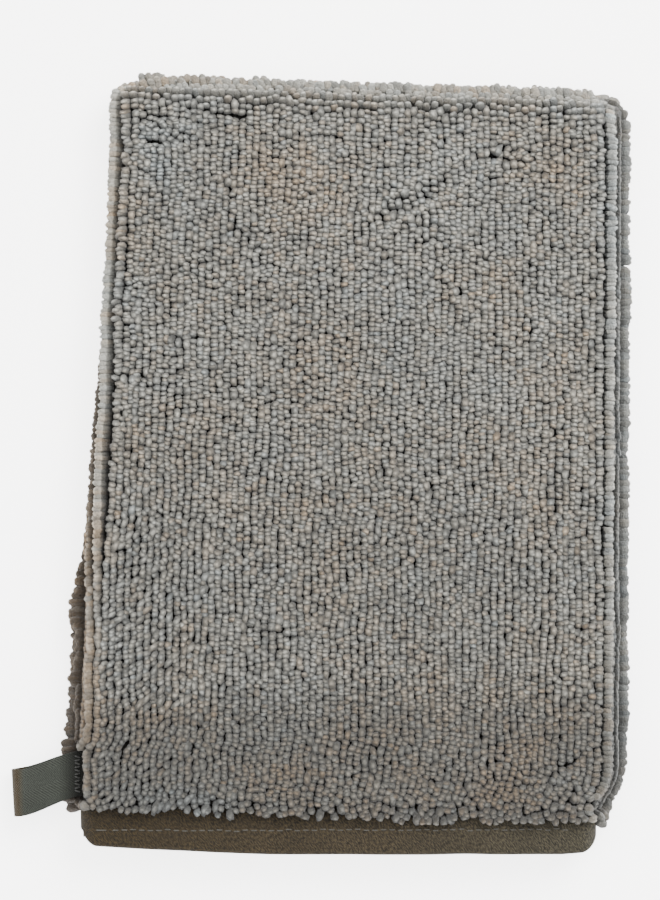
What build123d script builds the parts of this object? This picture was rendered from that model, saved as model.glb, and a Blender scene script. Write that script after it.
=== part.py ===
from build123d import *
import math
import os

# Wash mitt: two terry-knit microfibre panels sewn together along three sides, with a twill
# binding folded over each panel's open edge and a folded twill tape caught in one side seam.
# Millimetres. +X is to the right, +Y towards the closed end and +Z up, out of the front panel.
# The origin is on the flat resting face of the back panel, near the middle of the mitt.

# Heights of the layers, counted from the surface that the mitt rests on
PILE_HEIGHT = 4.2
GROUND_THICKNESS = 1.0
POCKET_HEIGHT = 6.4
MIDDLE_Z = PILE_HEIGHT + GROUND_THICKNESS + POCKET_HEIGHT / 2
BODY_GAP = 0.3  # between the front panel and the back panel, where they meet along the seam line

# The seam line: the edge of the ground cloth, seen from above
TOP_LEFT = (-72.5, 112.5)
TOP_RIGHT = (77.7, 108.0)
HIP_RIGHT = (77.0, -92.0)
NECK_RIGHT = (71.3, -104.0)
NECK_LEFT = (-81.8, -104.0)
BEYOND_MOUTH_Y = -140.0  # the envelopes run past the mouth, and are then cut to length
CORNER_RADIUS = 5.0

# Lengths along Y
PILE_END_LEFT_Y = -103.2
PILE_END_RIGHT_Y = -106.8
GROUND_END_Y = -112.0
CUFF_START_Y = -103.4
CUFF_END_Y = -117.0
CUFF_PLY = 0.7  # one layer of the twill binding
CUFF_CORNER_RADIUS = 4.0

# Overlocked seam allowance inside the pocket
SEAM_WIDTH = 2.5
SEAM_THICKNESS = 1.5
SEAM_TOP_Z = MIDDLE_Z - 0.5
SEAM_CLEARANCE_FROM_CORNER = 8.0

# Topstitching along each cuff
STITCH_LENGTH = 2.2
STITCH_PITCH = 3.0
STITCH_WIDTH = 0.5
STITCH_HEIGHT = 0.35
STITCH_ROW_Y = -109.3
STITCH_ROW_START_X = -74.0
STITCH_ROW_END_X = 64.0

# Hang loop of folded tape
TAPE_WIDTH = 12.7
TAPE_THICKNESS = 1.0
LOOP_ROOT = (-85.5, -94.0)  # where the tape leaves the parted loops, and the line that it swings about
LOOP_ANGLE = 14.6  # degrees that the tape points towards the mouth, away from -X
LOOP_REACH = 18.8
LOOP_RADIUS = 4.6
LOOP_JOIN = 2.0  # length over which the two plies are sewn together
PLY_GAP = 0.2  # gap between the plies where they part
NOTCH_MARGIN = 1.2  # room for the tape in the loops beside it, on the closed end's side
NOTCH_TO_MOUTH = 8.0  # the parting runs on past the tape, out of the pile's end
NOTCH_INNER_X = -79.5
TACK_STITCHES = 9
TACK_LENGTH = 1.8
TACK_OFFSET = 1.5
TACK_MARGIN = 1.2

SIZE_LIMIT = 400.0  # larger than the mitt, for cutting blocks


def seam_outline():
    """The seam line as a closed wire, with rounded corners at the closed end."""
    bottom_left = (NECK_LEFT[0], BEYOND_MOUTH_Y)
    bottom_right = (NECK_RIGHT[0], BEYOND_MOUTH_Y)
    corners = [TOP_LEFT, TOP_RIGHT, HIP_RIGHT, NECK_RIGHT, bottom_right, bottom_left, NECK_LEFT]
    face = make_face(Polyline(*corners, close=True))
    return fillet(face.vertices(), CORNER_RADIUS)


def envelope(outset, bottom_z, top_z):
    """A flat pillow: the seam outline grown by outset, with its rims rounded to half its height."""
    outline = offset(seam_outline(), outset, kind=Kind.ARC)
    height = top_z - bottom_z
    block = Pos(0, 0, bottom_z) * extrude(outline.face(), height)
    flat_faces = block.faces().filter_by(Axis.Z)
    return fillet(flat_faces.edges(), height / 2 - 0.1)


def slab(low, high):
    """The block between two opposite corners."""
    size = [b - a for a, b in zip(low, high)]
    centre = [(a + b) / 2 for a, b in zip(low, high)]
    return Pos(*centre) * Box(*size)


def layer(bottom_z, top_z):
    """Everything between two heights."""
    return slab((-SIZE_LIMIT, -SIZE_LIMIT, bottom_z), (SIZE_LIMIT, SIZE_LIMIT, top_z))


def half(front):
    """Everything above the middle plane for the front panel, or below it for the back panel."""
    if front:
        return layer(MIDDLE_Z + BODY_GAP / 2, SIZE_LIMIT)
    return layer(-SIZE_LIMIT, MIDDLE_Z - BODY_GAP / 2)


def closed_end_side(left_y, right_y):
    """Everything on the closed end's side of a line across the mitt, from its left to its right."""
    left_x = NECK_LEFT[0]
    right_x = NECK_RIGHT[0]
    slope = (right_y - left_y) / (right_x - left_x)
    low = (-SIZE_LIMIT, left_y + slope * (-SIZE_LIMIT - left_x))
    high = (SIZE_LIMIT, left_y + slope * (SIZE_LIMIT - left_x))
    face = make_face(Polyline(low, high, (SIZE_LIMIT, SIZE_LIMIT), (-SIZE_LIMIT, SIZE_LIMIT), close=True))
    return extrude(face, SIZE_LIMIT, both=True)


def loop_frame():
    """Local axes at the loop's root: X along the tape, away from the mitt, and Z up."""
    return Pos(*LOOP_ROOT, MIDDLE_Z) * Rot(0, 0, 180 + LOOP_ANGLE)


def panel_ground(front):
    """Knitted ground cloth: the inner shell, which runs into the fold of the cuff."""
    outer = envelope(0, PILE_HEIGHT, 2 * MIDDLE_Z - PILE_HEIGHT)
    inner_z = PILE_HEIGHT + GROUND_THICKNESS
    inner = envelope(-GROUND_THICKNESS, inner_z, 2 * MIDDLE_Z - inner_z)
    shell = (outer - inner) & half(front)
    return shell & closed_end_side(GROUND_END_Y, GROUND_END_Y)


def panel_pile(front):
    """Terry loops of one panel: the outer shell, which parts round the tape and overlaps the cuff."""
    outer = envelope(PILE_HEIGHT, 0, 2 * MIDDLE_Z)
    inner = envelope(0, PILE_HEIGHT, 2 * MIDDLE_Z - PILE_HEIGHT)
    shell = (outer - inner) & half(front)
    shell = shell & closed_end_side(PILE_END_LEFT_Y, PILE_END_RIGHT_Y)
    notch_far_side = -TAPE_WIDTH / 2 - NOTCH_MARGIN
    notch_mouth_side = TAPE_WIDTH / 2 + NOTCH_TO_MOUTH
    notch_depth = (NOTCH_INNER_X - LOOP_ROOT[0]) / math.cos(math.radians(LOOP_ANGLE))
    notch = slab((-notch_depth, notch_far_side, -SIZE_LIMIT), (SIZE_LIMIT, notch_mouth_side, SIZE_LIMIT))
    return shell - loop_frame() * notch - cuff_band(front)


def cuff_band(front):
    """Twill binding folded over the panel's open edge: a channel that holds the ground cloth."""
    outer_z = PILE_HEIGHT - CUFF_PLY
    inner_z = PILE_HEIGHT + GROUND_THICKNESS + CUFF_PLY
    outer = envelope(CUFF_PLY, outer_z, 2 * MIDDLE_Z - outer_z)
    inner = envelope(-GROUND_THICKNESS - CUFF_PLY, inner_z, 2 * MIDDLE_Z - inner_z)
    width = NECK_RIGHT[0] - NECK_LEFT[0] + 2 * CUFF_PLY
    depth = CUFF_START_Y - CUFF_END_Y
    centre_x = (NECK_LEFT[0] + NECK_RIGHT[0]) / 2
    centre_y = (CUFF_START_Y + CUFF_END_Y) / 2
    window = Pos(centre_x, centre_y, 0) * extrude(Rectangle(width, depth), SIZE_LIMIT, both=True)
    upright = window.edges().filter_by(Axis.Z)
    mouth_corners = upright.group_by(Axis.Y)[0]
    window = fillet(mouth_corners, CUFF_CORNER_RADIUS)
    band = (outer - inner) & window & half(front)
    return band - panel_ground(front)


def seam_ring():
    """Seam allowance all round the inside of the pocket, resting against the back panel's wall."""
    inner_z = PILE_HEIGHT + GROUND_THICKNESS
    pocket = envelope(-GROUND_THICKNESS, inner_z, 2 * MIDDLE_Z - inner_z)
    core_outline = offset(seam_outline(), -GROUND_THICKNESS - SEAM_WIDTH, kind=Kind.ARC)
    core = extrude(core_outline.face(), SIZE_LIMIT)
    return (pocket - core) & layer(SEAM_TOP_Z - SEAM_THICKNESS, SEAM_TOP_Z)


def side_seam(left):
    """The straight stretch of seam allowance along one side."""
    low_x, high_x = (-SIZE_LIMIT, 0) if left else (0, SIZE_LIMIT)
    top_y = (TOP_LEFT if left else TOP_RIGHT)[1] - SEAM_CLEARANCE_FROM_CORNER
    bottom_y = CUFF_START_Y if left else HIP_RIGHT[1] + CORNER_RADIUS
    return seam_ring() & slab((low_x, bottom_y, -SIZE_LIMIT), (high_x, top_y, SIZE_LIMIT))


def top_seam():
    """The straight stretch of seam allowance across the closed end."""
    left_x = TOP_LEFT[0] + SEAM_CLEARANCE_FROM_CORNER
    right_x = TOP_RIGHT[0] - SEAM_CLEARANCE_FROM_CORNER
    return seam_ring() & slab((left_x, 0, -SIZE_LIMIT), (right_x, SIZE_LIMIT, SIZE_LIMIT))


def stitch(length):
    """One thread stitch lying on z = 0 along X, with rounded ends."""
    body = Pos(0, 0, STITCH_HEIGHT / 2) * Box(length, STITCH_WIDTH, STITCH_HEIGHT)
    ends = body.edges().filter_by(Axis.Z)
    return fillet(ends, STITCH_WIDTH * 0.4)


def cuff_topstitch(front):
    """A row of stitches along the outer face of one cuff."""
    count = int((STITCH_ROW_END_X - STITCH_ROW_START_X) / STITCH_PITCH)
    outer_z = PILE_HEIGHT - CUFF_PLY
    top = Pos(0, 0, 2 * MIDDLE_Z - outer_z)
    underside = Pos(0, 0, outer_z - STITCH_HEIGHT)
    level = top if front else underside
    stitches = []
    for index in range(count):
        centre_x = STITCH_ROW_START_X + (index + 0.5) * STITCH_PITCH
        stitches.append(level * Pos(centre_x, STITCH_ROW_Y, 0) * stitch(STITCH_LENGTH))
    return Compound(children=stitches)


def hang_loop():
    """Tape folded back on itself: a teardrop seen from its edge, with its two ends sewn together."""
    ring_x = LOOP_REACH - LOOP_RADIUS
    ring_z = TAPE_THICKNESS - LOOP_RADIUS
    inner_radius = LOOP_RADIUS - TAPE_THICKNESS
    outer_top = (ring_x, ring_z + LOOP_RADIUS)
    outer_tip = (ring_x + LOOP_RADIUS, ring_z)
    outer_bottom = (ring_x, ring_z - LOOP_RADIUS)
    outside = Polyline(outer_bottom, (0, -TAPE_THICKNESS), (0, TAPE_THICKNESS), outer_top)
    outside = outside + ThreePointArc(outer_top, outer_tip, outer_bottom)
    inner_top = (ring_x, ring_z + inner_radius)
    inner_tip = (ring_x + inner_radius, ring_z)
    inner_bottom = (ring_x, ring_z - inner_radius)
    inside = Polyline(inner_bottom, (LOOP_JOIN, -PLY_GAP), (LOOP_JOIN, 0), inner_top)
    inside = inside + ThreePointArc(inner_top, inner_tip, inner_bottom)
    profile = make_face(outside) - make_face(inside)
    tape = extrude(Plane.XZ * profile, TAPE_WIDTH / 2, both=True)
    return loop_frame() * tape


def loop_tack_stitches():
    """A bar of short stitches across the tape, close to the seam."""
    usable_width = TAPE_WIDTH - 2 * TACK_MARGIN
    stitches = []
    for index in range(TACK_STITCHES):
        across = usable_width * (index / (TACK_STITCHES - 1) - 0.5)
        place = loop_frame() * Pos(TACK_OFFSET, across, TAPE_THICKNESS)
        stitches.append(place * stitch(TACK_LENGTH))
    return Compound(children=stitches)


def write(name, shape):
    """Writes one named sub-part."""
    shape.label = name
    export_step(shape, os.path.join("parts", name + ".step"))


os.makedirs("parts", exist_ok=True)
write("front_ground", panel_ground(True))
write("back_ground", panel_ground(False))
write("front_pile", panel_pile(True))
write("back_pile", panel_pile(False))
write("front_cuff_band", cuff_band(True))
write("back_cuff_band", cuff_band(False))
write("left_side_seam", side_seam(True))
write("right_side_seam", side_seam(False))
write("top_seam", top_seam())
write("front_cuff_topstitch", cuff_topstitch(True))
write("back_cuff_topstitch", cuff_topstitch(False))
write("hang_loop", hang_loop())
write("loop_tack_stitches", loop_tack_stitches())
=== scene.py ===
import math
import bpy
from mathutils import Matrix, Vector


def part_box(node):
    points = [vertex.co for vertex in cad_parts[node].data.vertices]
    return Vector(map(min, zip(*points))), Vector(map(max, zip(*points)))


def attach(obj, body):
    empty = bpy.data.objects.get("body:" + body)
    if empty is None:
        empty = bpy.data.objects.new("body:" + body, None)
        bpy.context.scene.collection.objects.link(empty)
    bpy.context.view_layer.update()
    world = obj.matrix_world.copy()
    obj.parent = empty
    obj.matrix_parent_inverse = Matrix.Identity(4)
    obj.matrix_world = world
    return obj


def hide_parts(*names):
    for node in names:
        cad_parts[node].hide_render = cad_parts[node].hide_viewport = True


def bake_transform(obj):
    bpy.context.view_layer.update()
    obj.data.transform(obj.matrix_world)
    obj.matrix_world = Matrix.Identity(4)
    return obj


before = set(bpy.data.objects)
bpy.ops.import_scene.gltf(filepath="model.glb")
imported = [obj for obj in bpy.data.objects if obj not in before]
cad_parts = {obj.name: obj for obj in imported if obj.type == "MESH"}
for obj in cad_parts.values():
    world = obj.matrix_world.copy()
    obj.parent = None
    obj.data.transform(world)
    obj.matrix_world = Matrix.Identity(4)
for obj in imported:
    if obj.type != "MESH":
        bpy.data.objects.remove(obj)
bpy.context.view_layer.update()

# Wash mitt of terry-knit microfibre: two looped panels sewn on three sides, a twill binding on
# each panel's open edge, and a folded twill tape caught in the left side seam.
# Metres, in the CAD's frame: +X right, +Y towards the closed end, +Z up out of the front panel.

from types import SimpleNamespace

import bpy
import numpy as np

MM = 0.001


def corners(node):
    """Lowest and highest corner of a CAD node, as arrays."""
    low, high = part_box(node)
    return np.array(low), np.array(high)


# ---------------------------------------------------------------- sizes taken from the frame

FRONT_LOW, FRONT_HIGH = corners("front_ground")
BACK_LOW, BACK_HIGH = corners("back_ground")
CUFF_LOW, CUFF_HIGH = corners("front_cuff_band")
LEFT_LOW, LEFT_HIGH = corners("left_side_seam")
RIGHT_LOW, RIGHT_HIGH = corners("right_side_seam")
TOP_LOW, TOP_HIGH = corners("top_seam")
PILE_LOW, PILE_HIGH = corners("front_pile")
LOOP_LOW, LOOP_HIGH = corners("hang_loop")

SEAM_WIDTH = 2.5 * MM
MIDDLE_Z = (FRONT_LOW[2] + BACK_HIGH[2]) / 2
RIM = FRONT_HIGH[2] - MIDDLE_Z            # radius of the ground cloth's rim
PILE = PILE_HIGH[2] - FRONT_HIGH[2]       # height of the terry loops
CUFF_PLY = CUFF_HIGH[2] - FRONT_HIGH[2]
CUFF_THICKNESS = 0.9 * CUFF_PLY
LEFT_SLOPE = (LEFT_HIGH[0] - LEFT_LOW[0] - SEAM_WIDTH) / (LEFT_HIGH[1] - LEFT_LOW[1])
TOP_SLOPE = -(TOP_HIGH[1] - TOP_LOW[1] - SEAM_WIDTH) / (TOP_HIGH[0] - TOP_LOW[0])
NECK_Y = CUFF_HIGH[1]
HIP_Y = RIGHT_LOW[1] - 5 * MM
NECK_RIGHT_X = CUFF_HIGH[0] - CUFF_PLY
GROUND_END_Y = FRONT_LOW[1]

# ---------------------------------------------------------------- sizes of the cloth itself

GROUND_THICKNESS = 0.9 * MM
WALE_PITCH = 2.03 * MM                    # between columns of loops
COURSE_PITCH = 1.29 * MM                  # between rows of loops
CROWN = 1.3 * MM
SEAM_PINCH = 0.9 * MM                     # how far the seams are drawn in
CUFF_CORNER = 4.6 * MM                    # radius of the binding's corners, seen from above
RIM_SHARE = 0.06                          # share of a panel's grid that lies on each rim

SEED_FRONT_LOOPS = 11
SEED_BACK_LOOPS = 23


# ---------------------------------------------------------------- noise and interpolation

def smoothstep(value):
    """0 below 0, 1 above 1, and a soft rise between."""
    value = np.clip(value, 0, 1)
    return value * value * (3 - 2 * value)


def value_noise(x, y, cell, seed):
    """Smooth noise in -1..1 on a plane, with features about a cell across."""
    size = 128
    table = np.random.default_rng(seed).uniform(-1, 1, (size, size))
    gx, gy = np.asarray(x) / cell + 37.3, np.asarray(y) / cell + 51.7
    ix, iy = np.floor(gx).astype(int), np.floor(gy).astype(int)
    fx, fy = gx - ix, gy - iy
    fx, fy = fx * fx * (3 - 2 * fx), fy * fy * (3 - 2 * fy)
    a = table[iy % size, ix % size]
    b = table[iy % size, (ix + 1) % size]
    c = table[(iy + 1) % size, ix % size]
    d = table[(iy + 1) % size, (ix + 1) % size]
    return (a * (1 - fx) + b * fx) * (1 - fy) + (c * (1 - fx) + d * fx) * fy


def line_noise(x, cell, seed):
    """Smooth noise in -1..1 along a line."""
    return value_noise(x, 0 * x, cell, seed)


def cubic_weights(f):
    """Catmull-Rom weights of the four samples around a point."""
    return (
        -0.5 * f + f * f - 0.5 * f ** 3,
        1 - 2.5 * f * f + 1.5 * f ** 3,
        0.5 * f + 2 * f * f - 1.5 * f ** 3,
        -0.5 * f * f + 0.5 * f ** 3,
    )


def sample(grid, s, t):
    """Points of a grid (rows along t, columns across s) at s and t in 0..1, on a smooth surface."""
    rows, columns = grid.shape[:2]
    gs, gt = np.clip(s, 0, 1) * (columns - 1), np.clip(t, 0, 1) * (rows - 1)
    i, j = np.minimum(gs.astype(int), columns - 2), np.minimum(gt.astype(int), rows - 2)
    ws, wt = cubic_weights(gs - i), cubic_weights(gt - j)
    result = 0
    for b in range(4):
        row = np.clip(j + b - 1, 0, rows - 1)
        line = 0
        for a in range(4):
            column = np.clip(i + a - 1, 0, columns - 1)
            line = line + ws[a][..., None] * grid[row, column]
        result = result + wt[b][..., None] * line
    return result


def unit(vectors):
    """The vectors, each brought to length 1."""
    return vectors / np.maximum(np.linalg.norm(vectors, axis=-1, keepdims=True), 1e-12)


def grid_normals(grid):
    """Unit normals of a grid of points: across x along."""
    return unit(np.cross(np.gradient(grid, axis=1), np.gradient(grid, axis=0)))


def distance_along(points, axis=0):
    """Distance from the first point of a line, or from the first row or column of a grid."""
    steps = np.linalg.norm(np.diff(points, axis=axis), axis=-1)
    start = np.zeros_like(np.take(steps, [0], axis=axis))
    return np.concatenate([start, np.cumsum(steps, axis=axis)], axis=axis)


# ---------------------------------------------------------------- meshes

def make_mesh(name, points, quads, triangles=None, polygons=None):
    """A smooth-shaded mesh object from arrays of points and corner indices."""
    blocks = [b for b in (quads, triangles, polygons) if b is not None and len(b)]
    mesh = bpy.data.meshes.new(name)
    mesh.vertices.add(len(points))
    mesh.vertices.foreach_set("co", np.ascontiguousarray(points, np.float32).ravel())
    corner_index = np.concatenate([b.ravel() for b in blocks]).astype(np.int32)
    sides = np.concatenate([np.full(len(b), b.shape[1]) for b in blocks])
    starts = np.concatenate([[0], np.cumsum(sides)[:-1]]).astype(np.int32)
    mesh.loops.add(len(corner_index))
    mesh.loops.foreach_set("vertex_index", corner_index)
    mesh.polygons.add(len(sides))
    mesh.polygons.foreach_set("loop_start", starts)
    mesh.update(calc_edges=True)
    mesh.validate()
    mesh.shade_smooth()
    thing = bpy.data.objects.new(name, mesh)
    bpy.context.scene.collection.objects.link(thing)
    return thing


def grid_faces(index, flip=False):
    """Corner indices of the quads of a grid of point numbers."""
    quads = np.stack([index[:-1, :-1], index[:-1, 1:], index[1:, 1:], index[1:, :-1]], -1)
    quads = quads.reshape(-1, 4)
    return quads[:, ::-1] if flip else quads


def thick_cloth(name, grid, thickness, uv=None):
    """A closed sheet of cloth whose outer face is the grid, with the weave's own UV map."""
    uv = cloth_uv(grid) if uv is None else uv
    rows, columns = grid.shape[:2]
    count = rows * columns
    inner = grid - grid_normals(grid) * thickness
    points = np.concatenate([grid.reshape(-1, 3), inner.reshape(-1, 3)])
    index = np.arange(count).reshape(rows, columns)
    border = np.concatenate([index[0, :-1], index[:-1, -1], index[-1, :0:-1], index[:0:-1, 0]])
    following = np.roll(border, -1)
    rim = np.stack([border, border + count, following + count, following], -1)
    quads = np.concatenate([grid_faces(index), grid_faces(index + count, flip=True), rim])
    thing = make_mesh(name, points, quads)
    thing.data.set_sharp_from_angle(angle=math.radians(50))
    both = np.concatenate([uv.reshape(-1, 2)] * 2)
    layer = thing.data.uv_layers.new(name="Weave")
    corner = np.zeros(len(thing.data.loops), np.int32)
    thing.data.loops.foreach_get("vertex_index", corner)
    layer.data.foreach_set("uv", both[corner].astype(np.float32).ravel())
    return thing


def cloth_uv(grid):
    """UV of each grid point in millimetres of cloth: distance across, and distance along."""
    u, v = distance_along(grid, axis=1), distance_along(grid)
    middle = grid.shape[1] // 2
    u = u - u[:, middle:middle + 1]
    return np.stack([u, v], -1) / MM


def tubes(name, paths, radius, sides=6):
    """Round threads along paths, an array of (thread, point, 3), closed at both ends."""
    threads, steps = paths.shape[:2]
    direction = unit(np.gradient(paths, axis=1))
    helper = np.zeros_like(direction)
    helper[..., 2] = 1
    steep = np.abs(direction[..., 2]) > 0.9
    helper[steep] = (1, 0, 0)
    side = unit(np.cross(helper, direction))
    lift = np.cross(direction, side)
    taper = np.sqrt(np.clip(1 - np.linspace(-1, 1, steps) ** 8, 0.15, 1))
    angle = np.arange(sides) * 2 * math.pi / sides
    reach = radius * taper[None, :, None, None]
    ring = paths[:, :, None] + reach * (
        side[:, :, None] * np.cos(angle)[None, None, :, None]
        + lift[:, :, None] * np.sin(angle)[None, None, :, None]
    )
    base = np.arange(threads)[:, None, None] * steps * sides
    step = np.arange(steps - 1)[None, :, None] * sides
    k = np.arange(sides)[None, None, :]
    after = (k + 1) % sides
    quads = np.stack([base + step + k, base + step + after,
                      base + step + sides + after, base + step + sides + k], -1).reshape(-1, 4)
    first = (base[:, 0] + np.arange(sides)[None, ::-1])
    last = (base[:, 0] + (steps - 1) * sides + np.arange(sides)[None])
    return make_mesh(name, ring.reshape(-1, 3), quads, polygons=np.concatenate([first, last]))


# ---------------------------------------------------------------- the mitt's form

def lower_left(y):
    """0 along the upper part of the left side, rising to 1 near the mouth."""
    return smoothstep((0.030 - y) / 0.085)


def left_edge(y):
    """X of the ground cloth's left edge: drawn in above, and slack near the mouth."""
    straight = FRONT_LOW[0] + LEFT_SLOPE * np.maximum(y - NECK_Y, 0)
    drawn_in = 1.3 * MM * smoothstep((y + 0.005) / 0.055) * smoothstep((0.125 - y) / 0.03)
    slack = 1.8 * MM * lower_left(y) * (0.5 + 0.5 * smoothstep((y - NECK_Y) / (6 * MM)))
    return straight + drawn_in - slack + 0.5 * MM * line_noise(y, 26 * MM, 3)


def right_edge(y):
    """X of the ground cloth's right edge, which narrows into the cuff."""
    neck = np.sin(np.clip((y - NECK_Y) / (HIP_Y + 1.5 * MM - NECK_Y), 0, 1) * math.pi / 2)
    straight = NECK_RIGHT_X + (FRONT_HIGH[0] - NECK_RIGHT_X) * neck
    return straight + 0.4 * MM * line_noise(y, 30 * MM, 4) * neck


def end_edge(fraction):
    """Y of the ground cloth's edge at the closed end, from left (0) to right (1)."""
    width = FRONT_HIGH[0] - FRONT_LOW[0]
    return FRONT_HIGH[1] + TOP_SLOPE * width * fraction + 0.5 * MM * line_noise(fraction, 0.17, 5)


def beside_tape(y):
    """1 beside the hang loop's root, falling softly to 0 away from it."""
    middle = (LOOP_LOW[1] + LOOP_HIGH[1]) / 2 + 3.0 * MM
    return smoothstep((11 * MM - np.abs(y - middle)) / (4 * MM))


def seam_angle(dx, dy, x, y):
    """Degrees that a seam stands above the rim's widest line, for the direction dx, dy outwards."""
    down = np.clip((0.06 - y) / 0.16, 0, 1)
    in_cuff = smoothstep((NECK_Y - y) / (4 * MM))
    left = (6 + 54 * down ** 1.3) * (1 - 0.55 * beside_tape(y)) + 10 * in_cuff
    right = 60 * (1 - in_cuff) - 12 * in_cuff
    end = 16 + 26 * np.clip((-0.045 - x) / 0.03, 0, 1)
    sideways = np.where(dx < 0, left, right)
    return sideways * dx ** 2 + end * dy ** 2


def core_point(across, along, start_y):
    """Plan position on the flat part of a panel: across -1..1, along 0..1 from start_y."""
    fraction = (across + 1) / 2
    y = start_y + along * (end_edge(fraction) - RIM - start_y)
    low, high = left_edge(y) + RIM, right_edge(y) - RIM
    return low + (high - low) * fraction, y


def pillow(front, s, t, start_y=GROUND_END_Y, offset=0.0):
    """Ground cloth's outer face at s across (0..1) and t along (0..1), grown by offset."""
    centred = 2 * s - 1
    flat_share = 1 - 2 * RIM_SHARE
    over_x = np.clip((np.abs(centred) - flat_share) / (1 - flat_share), 0, 1)
    over_y = np.clip((t - (1 - RIM_SHARE)) / RIM_SHARE, 0, 1)
    across = np.clip(centred / flat_share, -1, 1)
    along = np.clip(t / (1 - RIM_SHARE), None, 1)
    ex = over_x * np.sqrt(1 - over_y ** 2 / 2)
    ey = over_y * np.sqrt(1 - over_x ** 2 / 2)
    reach = np.hypot(ex, ey)
    safe = np.maximum(reach, 1e-9)
    dx, dy = np.sign(centred) * ex / safe, ey / safe
    x, y = core_point(across, along, start_y)
    seam = seam_angle(dx, dy, x, y)
    limit = np.radians(90 - seam if front else 90 + seam)
    angle = reach * limit
    pinch = np.exp(-((limit - angle) / 0.38) ** 2) * np.where(reach > 0, 1, 0)
    radius = RIM + offset - SEAM_PINCH * pinch * smoothstep((y - NECK_Y) / (6 * MM))
    side = 1 if front else -1
    inner = (1 - across ** 2) * (1 - np.clip((y - 0.03) / 0.075, 0, 1) ** 2)
    z = MIDDLE_Z + side * radius * np.cos(angle) + (CROWN * inner if front else 0)
    return np.stack([x + dx * radius * np.sin(angle), y + dy * radius * np.sin(angle), z], -1)


def relief(x, y):
    """Hand-pressed unevenness of the front panel, in metres of height."""
    height = 0.55 * MM * value_noise(x, y, 24 * MM, 6) + 0.4 * MM * value_noise(x, y, 11 * MM, 7)
    for cx, cy, long, short, turn, rise in RELIEF_FEATURES:
        turn = math.radians(turn)
        dx, dy = x - cx * MM, y - cy * MM
        u = (dx * math.cos(turn) + dy * math.sin(turn)) / (long * MM)
        v = (dy * math.cos(turn) - dx * math.sin(turn)) / (short * MM)
        height = height + rise * MM * np.exp(-u * u - v * v)
    return height


# Each: centre x, centre y, half length, half width (mm), turn (degrees), height (mm)
RELIEF_FEATURES = [
    (-50, 103, 4.5, 3.0, -20, -1.3),
    (-44, 106, 5.0, 1.6, -50, 0.7),
    (20, 81, 17, 3.2, 31, 1.2),
    (17, 76, 15, 2.2, 33, -0.6),
    (44, 91, 5.5, 1.4, 12, -0.9),
    (-29, 67, 5.0, 1.5, 5, -0.7),
    (60, 96, 12, 3.0, 8, 0.7),
    (-10, 99, 14, 2.5, 3, 0.6),
    (40, 4, 20, 5.0, 60, 0.5),
    (-38, -38, 22, 6.0, -50, -0.6),
    (30, -56, 24, 6.0, 35, 0.6),
    (52, -88, 9, 4.0, 20, -0.9),
    (-52, -88, 14, 4.0, 8, 0.5),
]


def panel_grid(front, rows=97, columns=73):
    """The ground cloth's outer face as a grid of points."""
    s, t = np.meshgrid(np.linspace(0, 1, columns), np.linspace(0, 1, rows))
    grid = pillow(front, s, t)
    if front:
        flat = smoothstep(np.minimum(np.minimum(s, 1 - s), 1 - t) / (2 * RIM_SHARE) - 0.3)
        cuff = smoothstep((grid[..., 1] - NECK_Y) / (10 * MM))
        grid[..., 2] += relief(grid[..., 0], grid[..., 1]) * flat * cuff
    return grid


def sewn_shell(front_grid, back_grid):
    """Both panels as one mesh that shares its seam points, and each panel's point numbers."""
    rows, columns = front_grid.shape[:2]
    front_index = np.arange(rows * columns).reshape(rows, columns)
    back_index = np.full((rows, columns), -1)
    on_seam = np.zeros((rows, columns), bool)
    on_seam[:, 0] = on_seam[:, -1] = on_seam[-1] = True
    back_index[on_seam] = front_index[on_seam]
    free = ~on_seam
    back_index[free] = rows * columns + np.arange(free.sum())
    points = np.concatenate([front_grid.reshape(-1, 3), back_grid[free]])
    quads = np.concatenate([grid_faces(front_index), grid_faces(back_index, flip=True)])
    return points, quads, front_index, back_index


def smooth_shift(shift, quads, passes=8):
    """The movement of each point, averaged with its neighbours' a few times."""
    first = np.concatenate([quads[:, k] for k in range(4)])
    second = np.concatenate([quads[:, (k + 1) % 4] for k in range(4)])
    shares = np.zeros(len(shift))
    np.add.at(shares, first, 1)
    for _ in range(passes):
        total = np.zeros_like(shift)
        np.add.at(total, first, shift[second])
        shift = 0.5 * shift + 0.5 * total / np.maximum(shares, 1)[:, None]
    return shift


# What a point keeps of its movement in the simulation, in x, y and z
SETTLED_SHARE = np.array([0.35, 0.35, 0.45])

# How strongly the simulation shrinks the cloth in the first, second and third row from a seam
SEAM_SHRINK = (1.0, 0.7, 0.35)


def shrink_weights(front_index, back_index, count):
    """How strongly each of the shell's points shrinks, which is most at the seams."""
    near_seam = np.zeros(front_index.shape)
    for depth, weight in enumerate(SEAM_SHRINK):
        band = np.zeros(front_index.shape, bool)
        band[:, depth] = band[:, -1 - depth] = band[-1 - depth] = True
        near_seam = np.where(band & (near_seam == 0), weight, near_seam)
    weights = np.zeros(count)
    weights[front_index.ravel()] = near_seam.ravel()
    weights[back_index.ravel()] = np.maximum(weights[back_index.ravel()], near_seam.ravel())
    return weights


def add_cloth(shell, steps):
    """Soft, slightly inflated cloth, without gravity or collisions."""
    cloth = shell.modifiers.new("cloth", "CLOTH")
    settings = cloth.settings
    settings.quality = 6
    settings.mass = 0.15
    settings.tension_stiffness = settings.compression_stiffness = 20
    settings.shear_stiffness = 8
    settings.bending_stiffness = 0.4
    settings.vertex_group_mass = "held"
    settings.vertex_group_shrink = "shrinking"
    settings.shrink_min = 0.0
    settings.shrink_max = 0.10
    settings.use_pressure = True
    settings.uniform_pressure_force = 0.6
    settings.effector_weights.gravity = 0
    cloth.collision_settings.use_collision = False
    cloth.point_cache.frame_start, cloth.point_cache.frame_end = 1, steps


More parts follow.
